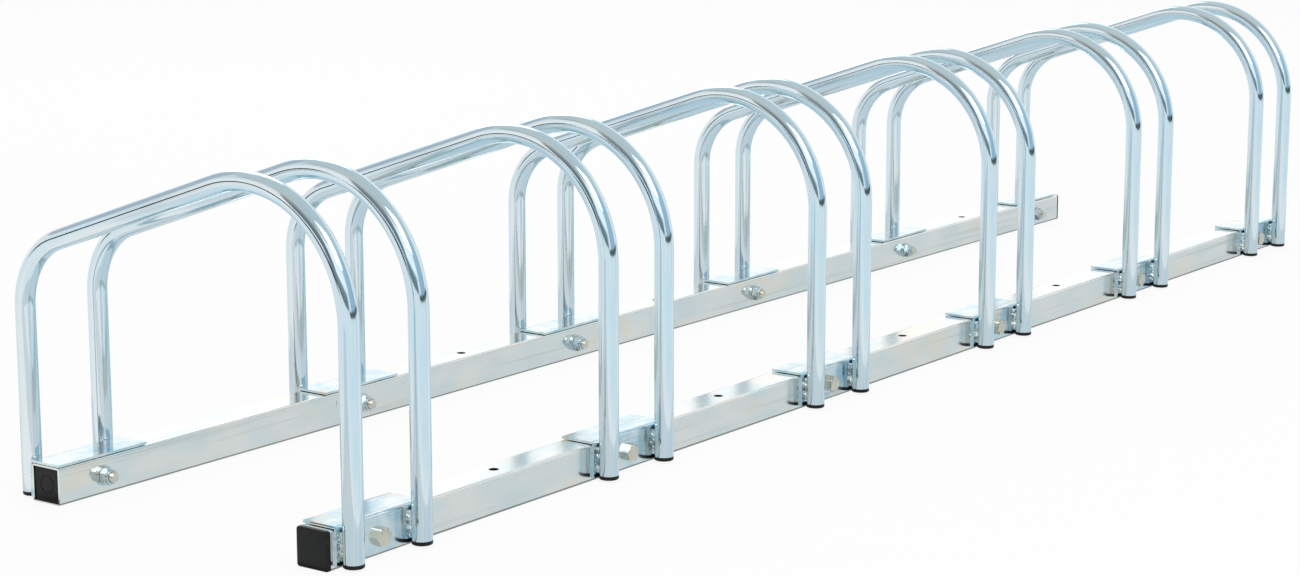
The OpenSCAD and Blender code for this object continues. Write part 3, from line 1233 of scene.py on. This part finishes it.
@dataclass
class Fasteners:
    """Hexagon bolts with their heads outside, and washers and nuts on the rails' inner faces."""

    places: Places
    flats: float = 13 * MM
    head: float = 5.3 * MM
    face_share: float = 0.95
    chamfer: float = math.radians(30)
    corner_soft: float = 0.12
    face_steps: tuple[float, ...] = (0.0, 0.12, 0.3, 0.5, 0.75, 1.0)
    dish_shares: Triple = (0.2, 0.75, 0.97)
    dish_depths: Triple = (0.18, 0.12, 0.0)
    shank_r: float = 4 * MM
    pitch: float = 1.25 * MM
    pitch_steps: int = 10
    thread_depth: float = 0.62 * MM
    thread_len: float = 13 * MM
    tooth_gain: float = 1.25
    tooth_flat: float = 0.12
    runout_pitches: float = 2.0
    end_bevel: float = 0.8 * MM
    end_shares: Span = (0.9, 0.5)
    nut: float = 6.5 * MM
    collar_drop: float = 0.9 * MM
    collar_rise: float = 1.7 * MM
    collar_roll: float = 0.9 * MM
    collar_r: float = 6.0 * MM
    collar_points: int = 6
    bore_clearance: float = 0.05 * MM
    lead_in: float = 0.6 * MM
    top_lead_in: float = 0.3 * MM
    washer: float = 1.6 * MM
    washer_r: float = 8 * MM
    washer_bore: float = 4.25 * MM
    washer_edge: float = 0.25 * MM
    washer_points: int = 5
    sharp_deg: float = 24.0
    columns: int = 48
    seed: int = 7

    def hex_rows(self, heights: np.ndarray, top: float, both: bool, turn: float) -> np.ndarray:
        """Radius of a chamfered hexagon: the hexagon, cut by a cone under its face.

        Args:
            heights: Distance of each ring from the lower face.
            top: Height of the upper face.
            both: True where the lower face has a chamfer too.
            turn: Angle by which the hexagon is turned.

        Returns:
            Radius for each ring and column.
        """
        outline = hexagon(self.flats, self.columns, turn, self.corner_soft)[None, :]
        face = self.face_share * self.flats / 2
        rows = np.minimum(outline, face + (top - heights)[:, None] / math.tan(self.chamfer))
        if both:
            rows = np.minimum(rows, face + heights[:, None] / math.tan(self.chamfer))
        return rows

    def ring_heights(self, top: float) -> np.ndarray:
        """Heights of a hexagon's rings, close together where its chamfers are."""
        near_face = np.array(self.face_steps) * MM
        return np.concatenate([near_face, top - near_face[::-1]])

    def bolt(self, base: Vector, axis: Vector, length: float, turn: float) -> Patch:
        """Builds one bolt: chamfered head, plain shank, helical thread and bevelled end.

        The thread's depth at a point follows a triangle wave of its distance along the axis
        less its angle's share of one pitch, so the wave climbs one pitch in each turn.

        Args:
            base: Underside of the head, on the axis.
            axis: Direction of the shank.
            length: Length under the head.
            turn: Angle by which the head is turned.

        Returns:
            The bolt's patch.
        """
        head_z = self.ring_heights(self.head)[::-1]
        head = self.hex_rows(head_z, self.head, False, turn)
        face = self.face_share * self.flats / 2
        dish = np.array(self.dish_shares)[:, None] * face * np.ones((1, self.columns))
        dish_z = self.head - np.array(self.dish_depths) * MM
        start = length - self.thread_len
        steps = int(self.thread_len / self.pitch * self.pitch_steps)
        thread_z = np.linspace(start, length, steps + 1)[1:]
        climb = ring_angles(self.columns)[None, :] / (2 * math.pi)
        wave = (thread_z[:, None] / self.pitch - climb) % 1.0
        tooth = np.clip(self.tooth_gain * (1 - np.abs(2 * wave - 1)) - self.tooth_flat, 0, 1)
        runout = self.runout_pitches * self.pitch
        fade = np.clip((thread_z - start) / runout, 0, 1)[:, None]
        thread = self.shank_r - self.thread_depth * fade * tooth
        bevel = self.shank_r - np.clip(thread_z - (length - self.end_bevel), 0, None)
        thread = np.minimum(thread, bevel[:, None])
        shank = np.full((2, self.columns), self.shank_r)
        tip = np.array(self.end_shares)[:, None] * thread[-1]
        radii = np.concatenate([dish, head, shank, thread, tip])
        heights = np.concatenate([-dish_z, -head_z, [0.0, start], thread_z, [length, length]])
        return turned_profile(radii, heights, base, axis)

    def lock_nut(self, base: Vector, axis: Vector, turn: float) -> Patch:
        """Builds one lock nut: a chamfered hexagon, a rolled collar over it, and a bore.

        The collar rises straight and rolls in along a quarter circle. The bore widens in a
        short cone at both ends.

        Args:
            base: Seat of the nut, on the axis.
            axis: Direction away from the washer.
            turn: Angle by which the hexagon is turned.

        Returns:
            The nut's patch.
        """
        hex_top = self.nut - self.collar_drop
        outer_z = self.ring_heights(hex_top)
        outer = self.hex_rows(outer_z, hex_top, True, turn)
        roll = quarter_turn(self.collar_points)
        top = self.nut + self.collar_rise
        collar = self.collar_r - self.collar_roll * (1 - np.cos(roll))
        collar_z = top - self.collar_roll + self.collar_roll * np.sin(roll)
        bore = self.shank_r + self.bore_clearance
        inner_z = [top, top - self.top_lead_in, self.lead_in, 0.0]
        inner = [bore + self.lead_in, bore, bore, bore + self.lead_in]
        round_r = np.concatenate([[self.collar_r], collar, inner])
        radii = np.concatenate([outer, np.repeat(round_r[:, None], self.columns, 1)])
        heights = np.concatenate([outer_z, outer_z[-1:], collar_z, inner_z])
        return turned_profile(radii, heights, base, axis, rows_close=True)

    def flat_washer(self, base: Vector, axis: Vector) -> Patch:
        """Builds one flat washer with small rounded edges, quarter circles as stamping leaves.

        Args:
            base: Seat of the washer, on the axis.
            axis: Direction away from the rail.

        Returns:
            The washer's patch.
        """
        edge, top = self.washer_edge, self.washer
        turn = quarter_turn(self.washer_points)
        rounding = edge * np.concatenate([np.sin(turn), np.cos(turn)])
        outer_z = np.concatenate([edge - edge * np.cos(turn), top - edge + edge * np.sin(turn)])
        inner_z = np.concatenate([top - edge + edge * np.cos(turn), edge - edge * np.sin(turn)])
        radii = np.concatenate([self.washer_r - edge + rounding, self.washer_bore + edge - rounding])
        return turned_profile(radii, np.concatenate([outer_z, inner_z]), base, axis, rows_close=True)

    def build(self, side: Side, bolt_coat: Coat, nut_coat: Coat) -> None:
        """Builds the bolts, washers and nuts of one side as three pieces.

        Args:
            side: Near or far rail.
            bolt_coat: Material and slot of the bolts.
            nut_coat: Material and slot of the washers and nuts.
        """
        rng = np.random.default_rng(self.seed + int(side.value))
        axis = Vector((0, -side.value, 0))
        low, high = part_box(f"{side.label}_bolts")
        length = high.y - low.y - self.head
        low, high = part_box(f"{side.label}_nut_washers")
        head_y = side.value * self.places.plate_y
        washer_y = low.y if side is Side.NEAR else high.y
        nut_y = washer_y - side.value * self.washer
        bolts, washers, nuts = [], [], []
        for x in self.places.place_x:
            turn, nut_turn = rng.uniform(0, math.pi / 3, 2)
            at_head, at_washer, at_nut = (
                Vector((x, y, self.places.bolt_z)) for y in (head_y, washer_y, nut_y)
            )
            bolts.append(self.bolt(at_head, axis, length, turn))
            washers.append(self.flat_washer(at_washer, axis))
            nuts.append(self.lock_nut(at_nut, axis, nut_turn))
        for kind, patches, coat in (
            ("bolts", bolts, bolt_coat),
            ("nut_washers", washers, nut_coat),
            ("nuts", nuts, nut_coat),
        ):
            node = f"{side.label}_{kind}"
            settle(make_piece(f"{node}_fine", patches, self.sharp_deg), coat, node)


# Kept CAD nodes


class FrameNodes:
    """The CAD nodes that stay: rails, sleeves and brackets, with their finishes."""

    def dress_all(self, rail: Coat, bracket: Coat) -> None:
        """Gives the rails and sleeves one coat and the brackets another.

        Args:
            rail: Material and slot of the rails and sleeves.
            bracket: Material and slot of the brackets.
        """
        for name, node in sorted(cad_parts.items()):
            for word, coat in (("rail", rail), ("bracket", bracket)):
                if word in name:
                    dress(node, coat.material)
                    log.info("%s: kept, %s", name, coat.material.name)


# Studio


@dataclass(frozen=True)
class Card:
    """An upright card round the rack that only reflections see, shaded from foot to top.

    Bearings count from +Y toward +X and elevations from the horizon, both in degrees.
    """

    name: str
    left: float
    right: float
    low: float
    high: float
    foot_colour: str
    top_colour: str
    glow: float = 1.0

    def corners(self, distance: float, height: float) -> list[Vector]:
        """Works out the corners, the two lower ones first.

        Args:
            distance: Distance of the card from the Z axis.
            height: Height over the origin from which elevations are seen.

        Returns:
            The four corners.
        """
        bounds = (
            (self.left, self.low),
            (self.right, self.low),
            (self.right, self.high),
            (self.left, self.high),
        )
        found = []
        for bearing, elevation in bounds:
            way = math.radians(bearing)
            z = height + distance * math.tan(math.radians(elevation))
            found.append(Vector((distance * math.sin(way), distance * math.cos(way), z)))
        return found


@dataclass(frozen=True)
class Lamp:
    """A square soft box, with its share of the lamps' power."""

    name: str
    place: Triple
    size: float
    share: float


# What the plating mirrors in the photograph: walls, a window, the dark line of the horizon, and
# beyond the rack a soft box, which the level tops of rails and brackets show as white
CARDS = (
    Card("right_wall", 141, 197, 1, 48, "#b3ccdc", "#cbdce4"),
    Card("right_skirting", 124, 214, -2, 1.4, "#454c4b", "#5d6462"),
    Card("rear_low", 215, 276, 1.4, 11, "#677680", "#9ba8af"),
    Card("rear_window", 200, 249, 13, 38, "#ffffff", "#f4f6f6", 1.2),
    Card("rear_block", 253, 291, 11, 47, "#5c666b", "#d2d6d6"),
    Card("left_skirting", 274, 326, -2, 4, "#1f2428", "#30373b"),
    Card("front_left_top", 334, 376, 18, 50, "#c4cad6", "#c8cccd"),
    Card("front_soft_box", 28, 82, 2, 26, "#ffffff", "#ffffff", 1.2),
)

LAMPS = (Lamp("key", (-1.2, -2.2, 2.6), 1.8, 1.0), Lamp("back", (1.4, 2.2, 2.4), 1.6, 0.6))


def rectangle(x: Span, y: Span, z: float) -> list[Vector]:
    """Corners of a level rectangle.

    Args:
        x: Its two ends along X.
        y: Its two ends along Y.
        z: Its height.

    Returns:
        The four corners in turn.
    """
    return [Vector((a, b, z)) for a, b in ((x[0], y[0]), (x[1], y[0]), (x[1], y[1]), (x[0], y[1]))]


def add_sheet(name: str, corners: Sequence[Vector], material: bpy.types.Material) -> bpy.types.Object:
    """Adds a flat sheet of the studio.

    Args:
        name: Name of the sheet.
        corners: Four corners. The UV's second axis goes from the first two to the last two.
        material: Its material.

    Returns:
        The new object.
    """
    mesh = bpy.data.meshes.new(name)
    mesh.from_pydata(corners, [], [(0, 1, 2, 3)])
    layer = mesh.uv_layers.new(name=UV_NAME)
    layer.uv.foreach_set("vector", [0, 0, 1, 0, 1, 1, 0, 1])
    sheet = bpy.data.objects.new(name, mesh)
    bpy.context.scene.collection.objects.link(sheet)
    dress(sheet, material)
    return sheet


@dataclass
class Studio:
    """White floor and backdrop, soft lamps, cards, and the camera at the photo's angle."""

    floor_size: float = 14.0
    floor_white: str = "#f4f5f5"
    floor_glow: float = 0.9
    sky_light: float = 0.76
    lamp_power: float = 26.0
    aim: Triple = (0.0, 0.0, 0.1)
    card_distance: float = 4.5
    card_height: float = 0.15
    ceiling_height: float = 3.4
    ceiling_half: float = 3.6
    ceiling_light: str = "#e8ebea"
    ceiling_dim: str = "#ced1d0"
    shade: str = "#e1e7ea"
    shade_z: float = 0.5 * MM
    near_x: Span = (-1.7, 1.1)
    near_y: Span = (-0.29, 0.05)
    far_x: Span = (-0.82, 1.1)
    far_y: Span = (0.05, 0.45)
    contact: float = 3 * MM
    contact_shade: str = "#8a8a86"
    contact_z: float = 1 * MM
    lens: float = 78.4
    sensor: float = 36.0
    clip: Span = (0.05, 60.0)
    yaw: float = -0.9383
    tilt: float = 0.1957
    place: Triple = (-2.2218, -1.4773, 0.5867)

    def seen(self, tree: bpy.types.NodeTree) -> bpy.types.NodeSocket:
        """One for camera, glossy and transmission rays, and zero for all others.

        Args:
            tree: Node tree.

        Returns:
            Socket with the number.
        """
        path = add_node(tree, "ShaderNodeLightPath").outputs
        either = path["Is Camera Ray"]
        for other in ("Is Glossy Ray", "Is Transmission Ray"):
            inputs = {0: either, 1: path[other]}
            either = add_node(tree, "ShaderNodeMath", inputs, operation="MAXIMUM").outputs[0]
        return either

    def build_world(self) -> None:
        """White where it is seen, and a plain soft light on the object."""
        world = bpy.data.worlds.new("studio")
        bpy.context.scene.world = world
        world.use_nodes = True
        tree = world.node_tree
        tree.nodes.clear()
        light = add_node(tree, "ShaderNodeBackground", {0: WHITE, 1: self.sky_light}).outputs[0]
        white = add_node(tree, "ShaderNodeBackground", {0: WHITE, 1: 1.0}).outputs[0]
        mix = add_node(tree, "ShaderNodeMixShader", {0: self.seen(tree), 1: light, 2: white})
        add_node(tree, "ShaderNodeOutputWorld", {"Surface": mix.outputs[0]})

    def build_floor(self) -> None:
        """A floor that shows nearly white and still takes the object's shadow."""
        material, tree = blank_material("white_floor")
        matt = add_node(tree, "ShaderNodeBsdfDiffuse", {"Color": srgb(self.floor_white)}).outputs[0]
        glow = add_node(tree, "ShaderNodeEmission", {"Color": WHITE, "Strength": 1.0}).outputs[0]
        inputs = {0: self.seen(tree), 1: self.floor_glow}
        share = add_node(tree, "ShaderNodeMath", inputs, operation="MULTIPLY").outputs[0]
        mix = add_node(tree, "ShaderNodeMixShader", {0: share, 1: matt, 2: glow})
        add_node(tree, "ShaderNodeOutputMaterial", {"Surface": mix.outputs[0]})
        half = self.floor_size / 2
        add_sheet("floor", rectangle((-half, half), (-half, half), 0), material)

    def build_lamps(self) -> None:
        """Hangs the soft boxes, each facing the middle of the rack."""
        for spec in LAMPS:
            lamp = bpy.data.lights.new(spec.name, "AREA")
            lamp.shape, lamp.size = "SQUARE", spec.size
            lamp.energy = self.lamp_power * spec.share
            box = bpy.data.objects.new(spec.name, lamp)
            box.location = spec.place
            ahead = Vector(self.aim) - Vector(spec.place)
            box.rotation_euler = ahead.to_track_quat("-Z", "Y").to_euler()
            bpy.context.scene.collection.objects.link(box)

    def add_card(
        self, name: str, corners: Sequence[Vector], foot: str, top: str, glow: float = 1.0
    ) -> None:
        """Adds a glowing card that only reflections see.

        Its shade follows a UV coordinate that goes from its first edge to its last.

        Args:
            name: Name of the card.
            corners: Four corners, the first two on its first edge.
            foot: Colour at the first edge.
            top: Colour at the last edge.
            glow: Strength of the glow.
        """
        material, tree = blank_material(name)
        place = add_node(tree, "ShaderNodeUVMap", uv_map=UV_NAME).outputs["UV"]
        share = add_node(tree, "ShaderNodeSeparateXYZ", {0: place}).outputs["Y"]
        colour = layered_colour(tree, foot, [(share, top)])
        light = add_node(tree, "ShaderNodeEmission", {"Color": colour, "Strength": glow})
        add_node(tree, "ShaderNodeOutputMaterial", {"Surface": light.outputs[0]})
        card = add_sheet(name, corners, material)
        card.visible_camera = False
        card.visible_diffuse = False
        card.visible_shadow = False

    def build_cards(self) -> None:
        """Sets the cards round the rack and a ceiling over it that dims toward -X."""
        for spec in CARDS:
            corners = spec.corners(self.card_distance, self.card_height)
            self.add_card(spec.name, corners, spec.foot_colour, spec.top_colour, spec.glow)
        half, z = self.ceiling_half, self.ceiling_height
        corners = [Vector((half * x, half * y, z)) for x, y in ((1, -1), (1, 1), (-1, 1), (-1, -1))]
        self.add_card("ceiling", corners, self.ceiling_light, self.ceiling_dim)

    def build_shades(self) -> None:
        """Lays the rack's own shade on the floor, for reflections, where the white floor hides it."""
        near = rectangle(self.near_x, self.near_y, self.shade_z)
        far = rectangle(self.far_x, self.far_y, self.shade_z)
        self.add_card("near_floor_shade", near, self.shade, self.shade)
        self.add_card("far_floor_shade", far, self.shade, self.shade)
        reach = self.contact
        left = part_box("near_left_end_plug")[0].x - reach
        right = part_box("far_right_end_plug")[1].x + reach
        for side in Side:
            low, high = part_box(f"{side.label}_rail_left")
            corners = rectangle((left, right), (low.y - reach, high.y + reach), self.contact_z)
            name = f"{side.label}_contact_shade"
            self.add_card(name, corners, self.contact_shade, self.contact_shade)

    def build_camera(self) -> None:
        """Sets the camera where the photograph's was.

        Its direction is the +Y axis turned by the yaw round Z and dipped by the tilt.
        """
        camera = bpy.data.cameras.new("camera")
        camera.sensor_width, camera.lens = self.sensor, self.lens
        camera.clip_start, camera.clip_end = self.clip
        right = Vector((math.cos(self.yaw), math.sin(self.yaw), 0))
        level = Vector((-math.sin(self.yaw), math.cos(self.yaw), 0))
        ahead = level * math.cos(self.tilt) - Vector(Z_AXIS) * math.sin(self.tilt)
        turn = Matrix((right, right.cross(ahead), -ahead)).transposed()
        holder = bpy.data.objects.new("camera", camera)
        holder.matrix_world = Matrix.Translation(self.place) @ turn.to_4x4()
        bpy.context.scene.collection.objects.link(holder)
        bpy.context.scene.camera = holder

    def build(self) -> None:
        """Builds the whole studio."""
        bpy.context.scene.view_settings.view_transform = "Standard"
        self.build_world()
        self.build_floor()
        self.build_lamps()
        self.build_cards()
        self.build_shades()
        self.build_camera()
        log.info("studio: %d cards, %d lamps", len(CARDS), len(LAMPS))


def main() -> None:
    """Builds the sub-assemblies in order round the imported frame, then the studio."""
    logging.basicConfig(level=logging.INFO, format="%(name)s: %(message)s")
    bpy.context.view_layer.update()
    places = Places.read()
    FrameNodes().dress_all(rail_finish().build(), bracket_finish().build())
    Hoops(places).build(hoop_finish().build())
    weld, plastic = WeldZinc().build(), BlackPolyethylene().build()
    bolt, nut = bolt_finish().build(), nut_finish().build()
    for side in Side:
        WeldBeads(places).build(side, weld)
        LegCaps(places).build(side, plastic)
        Fasteners(places).build(side, bolt, nut)
        for end in End:
            RailPlug(side, end).build(plastic)
    Studio().build()


if __name__ == "__main__":
    main()
